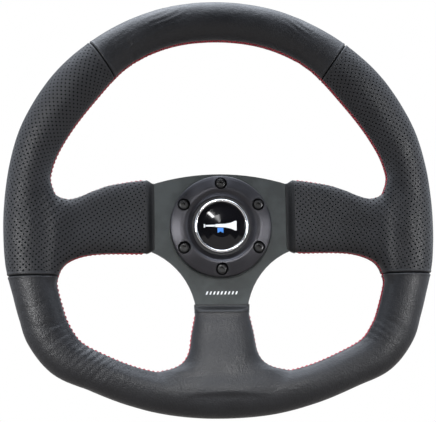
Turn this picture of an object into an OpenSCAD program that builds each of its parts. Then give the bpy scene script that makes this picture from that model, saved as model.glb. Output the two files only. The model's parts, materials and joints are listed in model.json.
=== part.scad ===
// Three-spoke sport steering wheel on a ball-lock quick-release hub.
//
// Every module is drawn face on: X to the right, Y up and Z along the steering
// axis towards the driver, with Z = 0 at the face that bolts to the column.
// upright() then turns that frame, so that +Z is up and the driver looks
// along +Y. One turn of the whole object about its axis is the column's own.

/* [Rim] */
// Width of the rim across the grips
rim_width = 350; // [342:1:356]
// Height of the rim's middle plane over the column face
rim_z = 63; // [61:0.5:65]
// Thickness of the leather
leather_t = 1.4; // [1:0.1:1.8]
// Diameter of the steel ring in the rim
core_d = 10; // [8:0.5:11]
// Angle from the top to each upper panel seam
seam_angle = 35; // [30:1:40]
// Height of the lower panel seams under the hub centre
seam_drop = 40; // [36:1:44]
// Gap in each panel seam
seam_gap = 0.6; // [0.3:0.1:1]
// Diameter of the lacing thread
thread_d = 1.1; // [0.8:0.1:1.4]

/* [Spoke plate] */
// Thickness of the spoke plate
plate_t = 4; // [3:0.5:5]
// Radius of the plate's centre hole
plate_hole_r = 24.4; // [24:0.1:26]
// Distance from the hub centre to the leather on the side spokes
side_cover_x = 61; // [58:0.5:63]
// Distance from the hub centre to the leather on the bottom spoke
bottom_cover_y = 70; // [68:0.5:72]
// Width of the hem that closes each cover on the plate
hem_w = 7; // [5:0.5:8]

/* [Hub pattern] */
// Bolt circle of the wheel and of the column face
pcd = 70; // [70:0.5:71]
// Number of bolts
bolts = 6; // [6:1:6]
// Radius of the column face's bolt holes
bolt_hole_r = 2.75; // [2.6:0.05:3]
// Radius of both hub flanges
flange_r = 42; // [41:0.5:42]

/* [Quick release] */
// Thickness of the column flange
column_flange_t = 8; // [7:0.5:8]
// Radius of the spigot
spigot_r = 22; // [21.5:0.1:22]
// Height of the spigot's tip over the column face
spigot_top = 38; // [37:0.5:39]
// Height of the lock balls over the column face
ball_z = 30; // [30:0.5:30]
// Diameter of a lock ball
ball_d = 8; // [8:0.5:8]
// Number of lock balls
balls = 6; // [3:1:8]
// How far the release sleeve slides towards the driver
sleeve_travel = 7; // [7:0.5:7]
// Number of teeth on the drive spline
spline_teeth = 24; // [16:1:30]

/* [Horn] */
// Outer radius of the horn ring
horn_ring_r = 41.5; // [40.5:0.5:42.5]
// Outer radius of the button's bright bezel
bezel_r = 22; // [21.5:0.1:22]
// How far the horn button moves in
horn_travel = 2.4; // [1.5:0.1:2.4]

/* [Hidden] */
$fn = 96;

k = rim_width / 350;            // scales every outline in the wheel's plane
body_back = 46;                 // back face of the wheel's hub flange
plate_z = 54;                   // back face of the spoke plate
plate_top = plate_z + plate_t;
rim_sides = 16;                 // corners of the rim's section
pad_sides = 24;                 // corners of a spoke cover's section
steps = 3;                      // stations between two control points

// Right half of the rim, from the top down: x, y, half width, half depth.
rim_half = [
    [0, 171.6, 16.8, 14], [44.5, 165.7, 16.7, 14], [84.6, 146.8, 17.4, 14.3],
    [116.8, 116.8, 20.1, 15.4], [141.2, 81.5, 19, 15], [153.2, 49.6, 17.2, 14.5],
    [157, 12, 17.8, 14.5], [155, -25, 18.6, 14.5], [149.3, -52, 18, 14.3],
    [144.7, -69, 17.8, 14.2], [138.4, -86.4, 17.9, 14], [124.7, -104.2, 16.9, 13.8],
    [102.5, -115.7, 15.4, 13.5], [71.5, -128, 15.3, 13.5], [38, -135.4, 16.1, 13.5],
    [0, -137.8, 16.5, 13.5]
];
// Side spoke cover, outwards: x, low y, high y, back z, front z.
side_cover = [
    [side_cover_x, -21.5, 38.8, 49, 64], [68, -21.8, 38.2, 49, 64.5],
    [80, -21.6, 36.3, 49, 65.5], [92, -21.7, 33.7, 49, 67],
    [104, -22.5, 29.2, 49.2, 69], [114, -24.6, 24.6, 49.5, 71],
    [122, -28, 22.3, 49.8, 72.8], [127, -32, 22.8, 50, 74],
    [131, -38.5, 24.2, 50, 75], [134, -46, 26.6, 50, 75.5],
    [137, -50, 32.5, 50.5, 75.5], [142, -48, 41, 51, 75], [154, -30, 30, 52, 74]
];
// Bottom spoke cover, downwards: y, half width, back z, front z.
bottom_cover = [
    [-bottom_cover_y, 22.2, 49, 64], [-78, 23.4, 49, 65.6], [-86, 25, 49, 67.2],
    [-94, 26.2, 49, 68.8], [-100, 27.2, 49.2, 70], [-105, 29.2, 49.5, 71],
    [-109, 32, 49.7, 71.8], [-112, 35.8, 50, 72.4], [-114.5, 41.5, 50, 72.9],
    [-117, 49, 50, 73.4], [-122, 54, 50.5, 74.4], [-128, 50, 51, 75.6],
    [-136, 40, 52, 76.4]
];
// Lacing along the right half of the top window, from the top to the hub.
top_lace = [
    [0, 154.5, 63], [22, 153.5, 63], [45.3, 148, 63], [71.7, 134.8, 63],
    [96, 109.8, 63], [110.2, 93, 63], [124.8, 71.2, 63], [136.4, 46, 63],
    [136.8, 33.5, 62.9], [131.4, 24.4, 62.5], [122, 22.3, 61.3], [114, 24.6, 60.3],
    [104, 29.2, 59.1], [92, 33.7, 58], [80, 36.3, 57.3], [68, 38.2, 56.8],
    [side_cover_x + 1, 38.8, 56.5]
];
// Lacing round the right-hand lower window, from the side spoke to the bottom one.
low_lace = [
    [side_cover_x + 1, -21.5, 56.5], [84, -21.6, 57.5], [104, -22.5, 59.1],
    [114, -24.6, 60.3], [122, -28, 61.3], [127.6, -33, 62], [131.2, -40.5, 62.8],
    [131.8, -51, 63], [127.8, -67, 63], [121.6, -80.5, 63], [112.6, -91.2, 63],
    [97, -101.5, 63], [84, -108, 63], [66, -113.6, 63], [52, -116, 62.5],
    [43, -114.6, 62], [32.6, -109.2, 60.8], [27.4, -100.5, 59.4],
    [25.5, -89, 58], [23.5, -78.7, 57.2], [22.2, -bottom_cover_y - 1, 56.5]
];

clear = 0.08;                   // radial play of parts that slide on each other
socket_r = 28;                  // outside of the socket that holds the balls
ball_lift = 2.1;                // how far a ball moves out as the sleeve slides
ball_seat_r = socket_r - ball_d / 2;
ball_lip_r = 3.6;               // narrow inner end of each hole, which keeps its ball in
lock_ratio = ball_lift / sleeve_travel;
sleeve_r = 34;
sleeve_low = 13;                // the sleeve's end nearest the column, at rest
sleeve_high = 37;
grip_r = 41;                    // the sleeve's finger flange

// ---------------------------------------------------------------- functions

function mirrored(half) = concat(
    half,
    [for (i = [len(half) - 2:-1:1])
        [for (j = [0:len(half[i]) - 1]) j == 0 ? -half[i][0] : half[i][j]]]
);
function curve(a, b, c, d, t) =
    0.5 * (2 * b + (c - a) * t + (2 * a - 5 * b + 4 * c - d) * t * t
        + (3 * b - a - 3 * c + d) * t * t * t);
// Smooth closed curve through all the points.
function closed_curve(p, n) = let (m = len(p)) [
    for (i = [0:m - 1], s = [0:n - 1])
        curve(p[(i + m - 1) % m], p[i], p[(i + 1) % m], p[(i + 2) % m], s / n)
];
// Smooth curve from the first point to the last.
function open_curve(p, n) = let (m = len(p)) concat(
    [for (i = [0:m - 2], s = [0:n - 1])
        curve(p[max(i - 1, 0)], p[i], p[i + 1], p[min(i + 2, m - 1)], s / n)],
    [p[m - 1]]
);
function unit(v) = v / norm(v);
function rounded(a, half, power) =
    half * sign(a) * pow(abs(a), 2 / power);
function tube_faces(n) = concat(
    [[for (i = [0:n - 1]) i]],
    [[for (i = [n - 1:-1:0]) n + i]],
    [for (i = [0:n - 1]) [i, n + i, n + (i + 1) % n, (i + 1) % n]]
);
function arc(centre, r, from, to, n) = [
    for (i = [0:n]) let (a = from + (to - from) * i / n)
        centre + r * [cos(a), sin(a)]
];
function flip_x(points) = [for (i = [len(points) - 1:-1:0])
    [-points[i][0], points[i][1]]];

// One corner ring of the rim's section, shrunk by inset.
rim_path = [for (p = closed_curve(mirrored(rim_half), steps))
    [p[0] * k, p[1] * k, p[2], p[3]]];
function rim_ring(i, inset, sides) = let (
    m = len(rim_path), p = rim_path[i % m],
    ahead = rim_path[(i + 1) % m], behind = rim_path[(i + m - 1) % m],
    t = unit([ahead[0] - behind[0], ahead[1] - behind[1]]),
    n = [-t[1], t[0]]
) [for (j = [0:sides - 1]) let (a = 360 * j / sides)
    [p[0] + n[0] * (p[2] - inset) * cos(a), p[1] + n[1] * (p[2] - inset) * cos(a),
        rim_z + (p[3] - inset) * sin(a)]];
function core_ring(i) = let (m = len(rim_path), p = rim_path[i % m],
    ahead = rim_path[(i + 1) % m], behind = rim_path[(i + m - 1) % m],
    t = unit([ahead[0] - behind[0], ahead[1] - behind[1]]), r = core_d / 2
) [for (j = [0:9]) let (a = 36 * j)
    [p[0] - t[1] * r * cos(a), p[1] + t[0] * r * cos(a), rim_z + r * sin(a)]];
function side_ring(s, inset) = [for (j = [0:pad_sides - 1]) let (a = 360 * j / pad_sides)
    [s[0] * k,
        k * (s[1] + s[2]) / 2 + rounded(cos(a), k * (s[2] - s[1]) / 2 - inset, 3.2),
        (s[3] + s[4]) / 2 + rounded(sin(a), (s[4] - s[3]) / 2 - inset, 3.2)]];
function bottom_ring(s, inset) = [for (j = [0:pad_sides - 1]) let (a = 360 * j / pad_sides)
    [rounded(cos(a), k * s[1] - inset, 3.2), s[0] * k,
        (s[2] + s[3]) / 2 + rounded(sin(a), (s[3] - s[2]) / 2 - inset, 3.2)]];
// Rings round a line, for one tube.
function line_rings(p, r, sides) = let (m = len(p)) [
    for (i = [0:m - 1]) let (
        t = unit(p[min(i + 1, m - 1)] - p[max(i - 1, 0)]),
        u = unit(cross(t, abs(t[2]) > 0.9 ? [1, 0, 0] : [0, 0, 1])),
        v = cross(t, u)
    ) for (j = [0:sides - 1]) let (a = 360 * j / sides)
        p[i] + r * (cos(a) * u + sin(a) * v)
];
function helix(r, low, high, turns, n) = [for (i = [0:n]) let (
    s = i / n, a = 360 * turns * s)
    [r * cos(a), r * sin(a), low + (high - low) * s]];
// Outline of a splined shaft; grow widens it into the matching hole.
function spline_outline(root, tip, teeth, grow) = let (
    pitch = 360 / teeth, extra = grow / tip * 180 / PI
) [for (i = [0:teeth - 1], c = [
        [root + grow, -0.31 * pitch - extra], [tip + grow, -0.2 * pitch - extra],
        [tip + grow, 0.2 * pitch + extra], [root + grow, 0.31 * pitch + extra]])
    c[0] * [cos(i * pitch + c[1]), sin(i * pitch + c[1])]];

// ------------------------------------------------------------------ helpers

module upright() rotate([90, 0, 0]) children();
module turned(profile) rotate_extrude() polygon(profile);
module ring(outer, inner, low, high)
    turned([[inner, low], [outer, low], [outer, high], [inner, high]]);
module around(n, r, first = 90)
    for (i = [0:n - 1]) rotate(first + 360 * i / n) translate([r, 0, 0]) children();
module between(a, b)
    hull() polyhedron(concat(a, b), tube_faces(len(a)));
module tube_along(points, r, sides) {
    m = len(points);
    polyhedron(
        line_rings(points, r, sides),
        concat(
            [[for (j = [sides - 1:-1:0]) j]],
            [[for (j = [0:sides - 1]) (m - 1) * sides + j]],
            [for (i = [0:m - 2], j = [0:sides - 1]) let (q = (j + 1) % sides)
                [i * sides + j, i * sides + q, (i + 1) * sides + q, (i + 1) * sides + j]]
        )
    );
}

// -------------------------------------------------------------------- wheel

module rim_body(inset) {
    for (i = [0:len(rim_path) - 1])
        between(rim_ring(i, inset, rim_sides), rim_ring(i + 1, inset, rim_sides));
}
module side_body(inset) {
    for (i = [0:len(side_cover) - 2])
        between(side_ring(side_cover[i], inset), side_ring(side_cover[i + 1], inset));
}
module bottom_body(inset) {
    for (i = [0:len(bottom_cover) - 2])
        between(bottom_ring(bottom_cover[i], inset), bottom_ring(bottom_cover[i + 1], inset));
}
// The padded part of the wheel: rim, two side spokes and the bottom spoke.
module wheel_body(inset) {
    rim_body(inset);
    side_body(inset);
    mirror([1, 0, 0]) side_body(inset);
    bottom_body(inset);
}
module leather_shell() difference() {
    wheel_body(0);
    wheel_body(leather_t);
}
module top_sector(gap) {
    reach = 300;
    linear_extrude(150) translate([0, gap / 2 / sin(seam_angle)])
        polygon([[0, 0], [reach * sin(seam_angle), reach * cos(seam_angle)],
            [0, 2 * reach], [-reach * sin(seam_angle), reach * cos(seam_angle)]]);
}
module below_seams(gap)
    translate([-300, -300 - seam_drop - gap / 2, 0]) cube([600, 300, 150]);

module rim_foam() color("#2b2b2b") upright() wheel_body(leather_t);
module leather_top() color("#26272a") upright() intersection() {
    leather_shell();
    top_sector(seam_gap);
}
module leather_side() intersection() {
    difference() {
        leather_shell();
        top_sector(-seam_gap);
        below_seams(-seam_gap);
    }
    translate([0, -300, 0]) cube([300, 600, 150]);
}
module leather_right() color("#212225") upright() leather_side();
module leather_left() color("#212225") upright() mirror([1, 0, 0]) leather_side();
module leather_bottom() color("#2c2e32") upright() intersection() {
    leather_shell();
    below_seams(seam_gap);
}

module side_hem() {
    wide = side_cover[0];
    thin = [side_cover_x - hem_w, wide[1] + 2, wide[2] - 2.6, plate_z - 0.7, plate_top + 0.7];
    difference() {
        between(side_ring(thin, 0), side_ring(wide, 0));
        plate_solid();
    }
}
module hem_right() color("#2a2c30") upright() side_hem();
module hem_left() color("#2a2c30") upright() mirror([1, 0, 0]) side_hem();
module hem_bottom() color("#2a2c30") upright() {
    wide = bottom_cover[0];
    thin = [-bottom_cover_y + hem_w, wide[1] + 0.4, plate_z - 0.7, plate_top + 0.7];
    difference() {
        between(bottom_ring(wide, 0), bottom_ring(thin, 0));
        plate_solid();
    }
}

module lace(points) {
    line = [for (p = open_curve(points, 2)) [p[0] * k, p[1] * k, p[2]]];
    tube_along(line, thread_d / 2, 6);
}
module lacing_top() color("#a3162b") upright() lace(concat(
    [for (i = [len(top_lace) - 1:-1:1]) top_lace[i]],
    [for (p = top_lace) [-p[0], p[1], p[2]]]
));
module lacing_right() color("#a3162b") upright() lace(low_lace);
module lacing_left() color("#a3162b") upright()
    lace([for (p = low_lace) [-p[0], p[1], p[2]]]);

module rim_core() color("#8a8d90") upright() {
    m = len(rim_path);
    polyhedron(
        [for (i = [0:m - 1]) each core_ring(i)],
        [for (i = [0:m - 1], j = [0:9]) let (n = (i + 1) % m, q = (j + 1) % 10)
            [i * 10 + j, i * 10 + q, n * 10 + q, n * 10 + j]]
    );
}

// Right half of the plate's outline, from the top round to the bottom.
plate_half = concat(
    arc([0, -144.4], 188.2, 90, 72.4, 8),
    [[67, 26], [112, 16], [156, 12], [156, -12], [67, -14.5]],
    arc([79.8, -74.6], 59.5, 112.4, 172, 10),
    [[17, -76], [15, -136], [0, -136]]
);
module plate_solid() difference() {
    translate([0, 0, plate_z]) linear_extrude(plate_t)
        scale(k) polygon(concat(plate_half, flip_x([for (i = [1:len(plate_half) - 2]) plate_half[i]])));
    translate([0, 0, plate_z - 1]) cylinder(r = plate_hole_r, h = plate_t + 2);
    around(bolts, pcd / 2) translate([0, 0, plate_z - 1]) cylinder(r = 2.75, h = plate_t + 2);
}
module spoke_plate() color("#3c4644") upright() plate_solid();

// --------------------------------------------------------------------- horn

module horn_ring() color("#2e3033") upright() difference() {
    turned([
        [23.7, plate_top], [horn_ring_r, plate_top], [horn_ring_r, 62.8],
        [horn_ring_r - 0.3, 63.5], [horn_ring_r - 1, 64.1], [38.6, 64.8], [36, 65.6],
        [33.6, 66.3], [31.8, 66.7], [30.4, 66.85], [29.4, 66.7], [28.5, 66.3], [27.7, 65.7],
        [26.9, 64.9], [26.1, 64.1], [25.2, 63.4], [24.4, 63], [23.7, 62.8]
    ]);
    around(bolts, pcd / 2) {
        translate([0, 0, plate_top - 1]) cylinder(r = 2.75, h = 6);
        translate([0, 0, 61.5]) cylinder(r = 5.1, h = 10);
    }
}
module wheel_screws() color("#121212") upright() around(bolts, pcd / 2) difference() {
    union() {
        translate([0, 0, 47]) cylinder(r = 2.45, h = 15);
        turned([[0, 61.5], [4.8, 61.5], [4.8, 62.7], [4.3, 63.9], [3.4, 64.7], [2.5, 64.9], [0, 64.9]]);
    }
    translate([0, 0, 62.4]) cylinder(r = 1.95, h = 4, $fn = 6);
}
housing_r = 23.55;
module horn_housing() color("#1b1b1c") upright() difference() {
    turned([
        [0, 52], [16, 52], [16, 55], [22.35, 55], [22.35, plate_z], [housing_r, plate_z],
        [housing_r, 64], [22.35, 64], [22.35, 57], [0, 57]
    ]);
    around(3, 18.6) translate([-1.7, -2.4, 54]) cube([3.4, 4.8, 4]);
    for (x = [-9, 9]) translate([x - 3.2, -0.45, 51]) cube([6.4, 0.9, 7]);
}
module horn_fixed_contact() color("#c8a24a") upright() ring(8, 4, 57, 57.7);
module horn_terminals() color("#c8a24a") upright() for (x = [-9, 9])
    translate([x - 3.15, -0.4, 50.6]) cube([6.3, 0.8, 6.4]);
module horn_spring() color("#b9bcc0") upright()
    tube_along(helix(12, 57.6, 60.1, 2.5, 40), 0.5, 6);
module horn_cap() color("#161617") upright() {
    difference() {
        turned([[0, 60.9], [21.9, 60.9], [21.9, 63.6], [0, 63.6]]);
        turned([[10.5, 60], [13.5, 60], [13.5, 61.4], [10.5, 61.4]]);
    }
    around(3, 18.6) {
        translate([-0.9, -2, 53]) cube([1.8, 4, 8]);
        translate([-0.9, -2, 53]) cube([4, 4, 1.6]);
    }
}
module horn_moving_contact() color("#c8a24a") upright() ring(8, 4, 60.2, 60.9);
module horn_bezel() color("#d9dbde") upright() rotate_extrude() union() {
    translate([19.7, 63.6]) square([bezel_r - 19.7, 2]);
    translate([(bezel_r + 19.7) / 2, 65.6]) circle(r = (bezel_r - 19.7) / 2);
}
dome_r = 19.5;
dome_rise = 2;
dome_ball = (dome_r * dome_r + dome_rise * dome_rise) / (2 * dome_rise);
module horn_dome() color("#0b0b0d") upright() intersection() {
    translate([0, 0, 63.6]) cylinder(r = dome_r, h = 5);
    translate([0, 0, 64.6 + dome_rise - dome_ball]) sphere(r = dome_ball);
}

// ------------------------------------------------------ wheel half of the hub

module release_body() color("#26282b") upright() difference() {
    turned([
        [0, 44], [spigot_r + clear, 44], [spigot_r + clear, 9], [socket_r, 9],
        [socket_r, 10.9], [socket_r - 1, 10.9], [socket_r - 1, 12.5], [socket_r, 12.5],
        [socket_r, body_back], [flange_r - 0.8, body_back], [flange_r, body_back + 0.8],
        [flange_r, plate_z], [22.6, plate_z], [22.6, 48], [0, 48]
    ]);
    translate([0, 0, 43]) cylinder(r = 12, h = 6);
    translate([0, 0, 8]) linear_extrude(10)
        polygon(spline_outline(23.4, 25, spline_teeth, 0.12));
    around(bolts, pcd / 2) translate([0, 0, body_back - 1]) cylinder(r = 2.5, h = 10);
    around(balls, 0) translate([0, 0, ball_z]) rotate([0, 90, 0]) {
        translate([0, 0, spigot_r - 2]) cylinder(r = ball_lip_r, h = 3);
        translate([0, 0, spigot_r + clear])
            cylinder(r1 = ball_lip_r, r2 = ball_d / 2 + clear, h = 1.1);
        translate([0, 0, spigot_r + clear + 1.1]) cylinder(r = ball_d / 2 + clear, h = 8);
    }
}
module retaining_ring() color("#55585c") upright() difference() {
    ring(socket_r + 2.2, socket_r - 0.95, 11, 12.4);
    translate([0, -1.6, 10]) cube([40, 3.2, 4]);
}
// The cone over the balls rises by ball_lift over sleeve_travel, so that the
// sleeve's slide and the balls' outward travel keep one constant ratio.
module release_sleeve() color("#8d9196") upright() turned([
    [socket_r + clear, sleeve_low], [sleeve_r - 1, sleeve_low], [sleeve_r, sleeve_low + 1],
    [sleeve_r, sleeve_high], [32.2, sleeve_high], [32.2, 33], [socket_r + clear, 33],
    [socket_r + clear, ball_z + 1],
    [socket_r + clear + 8 * lock_ratio, ball_z - 7],
    [socket_r + clear + 8 * lock_ratio, 18.5], [socket_r + clear, 18.5]
]);
module sleeve_grip() color("#26282b") upright() translate([0, 0, 31.4]) difference() {
    linear_extrude(5.2) polygon([for (i = [0:59]) let (a = 6 * i)
        for (c = [[grip_r - 0.8, -1.6], [grip_r, -0.9], [grip_r, 0.9], [grip_r - 0.8, 1.6]])
            c[0] * [cos(a + c[1]), sin(a + c[1])]]);
    translate([0, 0, -1]) cylinder(r = sleeve_r, h = 8);
}
module sleeve_spring() color("#b9bcc0") upright()
    tube_along(helix(30.2, 33.9, body_back - 0.9, 3.25, 66), 0.75, 6);
module lock_ball(i) color("#d0d3d6") upright() rotate(90 + 360 * i / balls)
    translate([ball_seat_r, 0, ball_z]) sphere(d = ball_d);
module contact_carrier() color("#e8e4d8") upright() difference() {
    translate([0, 0, 44]) cylinder(r = 12, h = 4);
    for (x = [-4.5, 9.5]) translate([x, 0, 43]) cylinder(r = 1.3, h = 6);
}
module contact_pins() color("#c8a24a") upright() for (x = [-4.5, 9.5]) {
    translate([x, 0, 38.7]) cylinder(r = 0.8, h = 3);
    translate([x, 0, 41.6]) cylinder(r = 1.3, h = 7.4);
}
// Short leads from the contact pins to the horn terminals.
module horn_leads() color("#3a3a3a") upright() {
    tube_along(open_curve([[-4.5, 0, 49.05], [-4.5, 0.02, 49.4], [-4.9, 0.8, 49.9],
        [-6.2, 2.4, 50.3], [-7.6, 2.8, 50.9], [-8.7, 1.8, 51.3], [-9, 0.62, 51.3]], 2), 0.45, 8);
    tube_along(open_curve([[9.5, 0, 49.05], [9.5, 0.02, 49.4], [9.7, 0.8, 49.8],
        [10.3, 2.2, 50.1], [10.5, 2.8, 50.6], [9.9, 2.4, 51.1], [9.2, 1.5, 51.3],
        [9, 0.62, 51.3]], 2), 0.45, 8);
}

// ----------------------------------------------------- column half of the hub

foot_r = 28;
foot_t = 4;
dowel_r = 26.8;                 // circle of the dowels between foot and flange
module column_flange() color("#26282b") upright() difference() {
    turned([
        [25.6, foot_t], [foot_r + clear, foot_t], [foot_r + clear, 0], [flange_r, 0],
        [flange_r, column_flange_t - 0.8], [flange_r - 0.8, column_flange_t],
        [25.6, column_flange_t]
    ]);
    around(bolts, pcd / 2) {
        translate([0, 0, -1]) cylinder(r = bolt_hole_r, h = 12);
        translate([0, 0, column_flange_t - 2.75]) cylinder(r1 = bolt_hole_r, r2 = 5.6, h = 2.85);
    }
    around(4, dowel_r, 45) translate([0, 0, foot_t - 1]) cylinder(r = 0.95, h = 3.6);
}
module column_spigot() color("#a9adb2") upright() difference() {
    union() {
        cylinder(r = foot_r, h = foot_t);
        translate([0, 0, 2]) linear_extrude(15)
            polygon(spline_outline(23.4, 25, spline_teeth, 0));
        turned([[0, 2], [spigot_r, 2], [spigot_r, spigot_top - 1.5],
            [spigot_r - 1.5, spigot_top], [0, spigot_top]]);
    }
    translate([0, 0, -1]) cylinder(r = 12, h = 60);
    translate([0, 0, ball_z]) rotate_extrude()
        translate([ball_seat_r, 0]) circle(r = ball_d / 2 + clear);
    around(4, dowel_r, 45) translate([0, 0, -1]) cylinder(r = 0.95, h = 2 + foot_t);
}
module spigot_dowels() color("#c4c7ca") upright() around(4, dowel_r, 45)
    translate([0, 0, 0.3]) cylinder(r = 0.9, h = foot_t + 2);
module anti_rattle_ring() color("#101010") upright()
    ring(29.2, 25.7, column_flange_t, 8.7);
module contact_disc() color("#e8e4d8") upright() translate([0, 0, spigot_top - 4])
    cylinder(r = 12, h = 4);
module contact_ring_outer() color("#c8a24a") upright() ring(10.7, 8.3, spigot_top, spigot_top + 0.6);
module contact_ring_inner() color("#c8a24a") upright() ring(5.7, 3.3, spigot_top, spigot_top + 0.6);

spoke_plate();
rim_core();
rim_foam();
leather_top();
leather_right();
leather_left();
leather_bottom();
hem_right();
hem_left();
hem_bottom();
lacing_top();
lacing_right();
lacing_left();
horn_ring();
wheel_screws();
horn_housing();
horn_fixed_contact();
horn_terminals();
horn_leads();
horn_spring();
horn_cap();
horn_moving_contact();
horn_bezel();
horn_dome();
release_body();
retaining_ring();
release_sleeve();
sleeve_grip();
sleeve_spring();
contact_carrier();
contact_pins();
for (i = [1:balls]) lock_ball(i - 1);
column_flange();
column_spigot();
spigot_dowels();
anti_rattle_ring();
contact_disc();
contact_ring_outer();
contact_ring_inner();
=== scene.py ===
import json
import math
import bpy
import bmesh
import numpy as np
from mathutils import Matrix, Vector, noise


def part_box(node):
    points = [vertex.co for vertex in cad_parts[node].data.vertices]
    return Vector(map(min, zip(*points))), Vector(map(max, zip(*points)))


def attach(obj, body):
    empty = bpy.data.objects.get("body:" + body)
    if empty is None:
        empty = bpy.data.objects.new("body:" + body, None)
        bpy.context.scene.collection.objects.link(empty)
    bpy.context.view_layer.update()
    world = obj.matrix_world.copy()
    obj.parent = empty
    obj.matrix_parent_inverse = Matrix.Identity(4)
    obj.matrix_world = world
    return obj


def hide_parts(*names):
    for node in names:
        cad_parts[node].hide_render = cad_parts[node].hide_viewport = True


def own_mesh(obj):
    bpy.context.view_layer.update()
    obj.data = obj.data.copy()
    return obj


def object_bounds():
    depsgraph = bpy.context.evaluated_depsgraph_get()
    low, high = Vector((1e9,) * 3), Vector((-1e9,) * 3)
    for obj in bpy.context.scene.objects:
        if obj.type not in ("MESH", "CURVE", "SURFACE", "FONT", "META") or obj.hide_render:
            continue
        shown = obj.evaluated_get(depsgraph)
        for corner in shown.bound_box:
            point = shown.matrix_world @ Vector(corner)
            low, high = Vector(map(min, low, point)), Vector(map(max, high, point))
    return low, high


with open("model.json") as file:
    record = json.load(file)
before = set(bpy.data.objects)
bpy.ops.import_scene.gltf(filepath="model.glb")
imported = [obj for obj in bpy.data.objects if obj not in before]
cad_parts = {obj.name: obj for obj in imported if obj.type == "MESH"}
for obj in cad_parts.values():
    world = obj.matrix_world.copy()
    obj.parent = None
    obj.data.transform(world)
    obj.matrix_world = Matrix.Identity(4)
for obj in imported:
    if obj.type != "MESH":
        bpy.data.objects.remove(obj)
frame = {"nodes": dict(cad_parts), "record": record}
cad_lo, cad_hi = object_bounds()
nodes = frame["nodes"]
scene = bpy.context.scene
scene.view_settings.view_transform = "Standard"

# Shapes are worked out face on, in millimetres: x to the right, y up, z towards
# the driver from the column's face. row() turns that into the row frame.
MM = 0.001


def row(p):
    p = np.asarray(p, float)
    return np.stack([p[..., 0], -p[..., 2], p[..., 1]], -1) * MM


def z_span(node):
    lo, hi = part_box(node)
    return -hi.y / MM, -lo.y / MM


RIM_Z = sum(z_span("leather_top")) / 2
PLATE_Z, PLATE_TOP = z_span("spoke_plate")
HEM_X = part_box("hem_right")[1].x / MM          # where the side covers end
HEM_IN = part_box("hem_right")[0].x / MM
HEM_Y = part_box("hem_bottom")[0].z / MM          # where the bottom cover ends
HEM_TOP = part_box("hem_bottom")[1].z / MM
SEAM_Y = -40.0                  # the two seams at the foot of the grips
SEAM_A = math.radians(35)       # the two seams beside the top panel, from straight up
LEATHER = 1.4                   # thickness
HOLE_PITCH = 3.05               # of the perforation
HOLE_TURN = math.radians(34)


# ---------------------------------------------------------------- mesh helpers

def link(name, mesh):
    o = bpy.data.objects.new(name, mesh)
    scene.collection.objects.link(o)
    return o


def make(name, verts, faces):
    me = bpy.data.meshes.new(name)
    me.from_pydata([tuple(v) for v in verts], [], [tuple(f) for f in faces])
    me.validate()
    me.update()
    me.polygons.foreach_set("use_smooth", [True] * len(me.polygons))
    return link(name, me)


def spline(points, n, closed=False):
    """Points on the smooth curve through the given ones, n for each stretch."""
    p = np.asarray(points, float)
    m = len(p)
    out = []
    t = (np.arange(n) / n)[:, None]
    for i in range(m if closed else m - 1):
        if closed:
            a, b, c, d = p[(i - 1) % m], p[i], p[(i + 1) % m], p[(i + 2) % m]
        else:
            a, b, c, d = p[max(i - 1, 0)], p[i], p[i + 1], p[min(i + 2, m - 1)]
        out.append(0.5 * (2 * b + (c - a) * t + (2 * a - 5 * b + 4 * c - d) * t ** 2
                          + (3 * b - a - 3 * c + d) * t ** 3))
    if not closed:
        out.append(p[-1:])
    return np.concatenate(out)


def even(p, step, closed=False):
    """The same line with points a fixed distance apart."""
    q = np.vstack([p, p[:1]]) if closed else p
    s = np.concatenate([[0], np.cumsum(np.linalg.norm(np.diff(q, axis=0), axis=1))])
    n = max(2, int(round(s[-1] / step)))
    t = np.linspace(0, s[-1], n + 1)
    r = np.stack([np.interp(t, s, q[:, k]) for k in range(q.shape[1])], 1)
    return r[:-1] if closed else r


def loft(name, rings):
    """Closed skin over rings that all have the same number of points, in mm."""
    rings = np.asarray(rings)
    m, n = rings.shape[:2]
    i, j = np.meshgrid(np.arange(m - 1), np.arange(n), indexing="ij")
    i2, j2 = i + 1, (j + 1) % n
    f = np.stack([i * n + j, i * n + j2, i2 * n + j2, i2 * n + j], -1).reshape(-1, 4).tolist()
    f += [list(range(n))[::-1], list(range((m - 1) * n, m * n))]
    o = make(name, row(rings.reshape(-1, 3)), f)
    fix_normals(o)
    return o


def fix_normals(o):
    bm = bmesh.new()
    bm.from_mesh(o.data)
    bmesh.ops.recalc_face_normals(bm, faces=bm.faces)
    bm.to_mesh(o.data)
    bm.free()


def tube(path, r, sides):
    """Rings of radius r round a line."""
    p = np.asarray(path, float)
    t = np.gradient(p, axis=0)
    t /= np.linalg.norm(t, axis=1)[:, None]
    ref = np.array([0, 0, 1.0]) if abs(t[0, 2]) < 0.9 else np.array([1.0, 0, 0])
    u = np.empty_like(p)
    v0 = ref - t[0] * (ref @ t[0])
    for i in range(len(p)):
        v0 = v0 - t[i] * (v0 @ t[i])
        v0 /= np.linalg.norm(v0)
        u[i] = v0
    w = np.cross(t, u)
    a = np.linspace(0, 2 * math.pi, sides, endpoint=False)
    return p[:, None] + r * (np.cos(a)[:, None] * u[:, None] + np.sin(a)[:, None] * w[:, None])


# ------------------------------------------------------------------- materials

def ramp(nt, src, lo, hi, a, b):
    n = nt.nodes.new("ShaderNodeMapRange")
    n.inputs["From Min"].default_value, n.inputs["From Max"].default_value = lo, hi
    n.inputs["To Min"].default_value, n.inputs["To Max"].default_value = a, b
    nt.links.new(src, n.inputs["Value"])
    return n.outputs["Result"]


def maths(nt, op, a, b=None):
    n = nt.nodes.new("ShaderNodeMath")
    n.operation = op
    for k, v in ((0, a), (1, b)):
        if v is None:
            continue
        if isinstance(v, (int, float)):
            n.inputs[k].default_value = v
        else:
            nt.links.new(v, n.inputs[k])
    return n.outputs[0]


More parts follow.
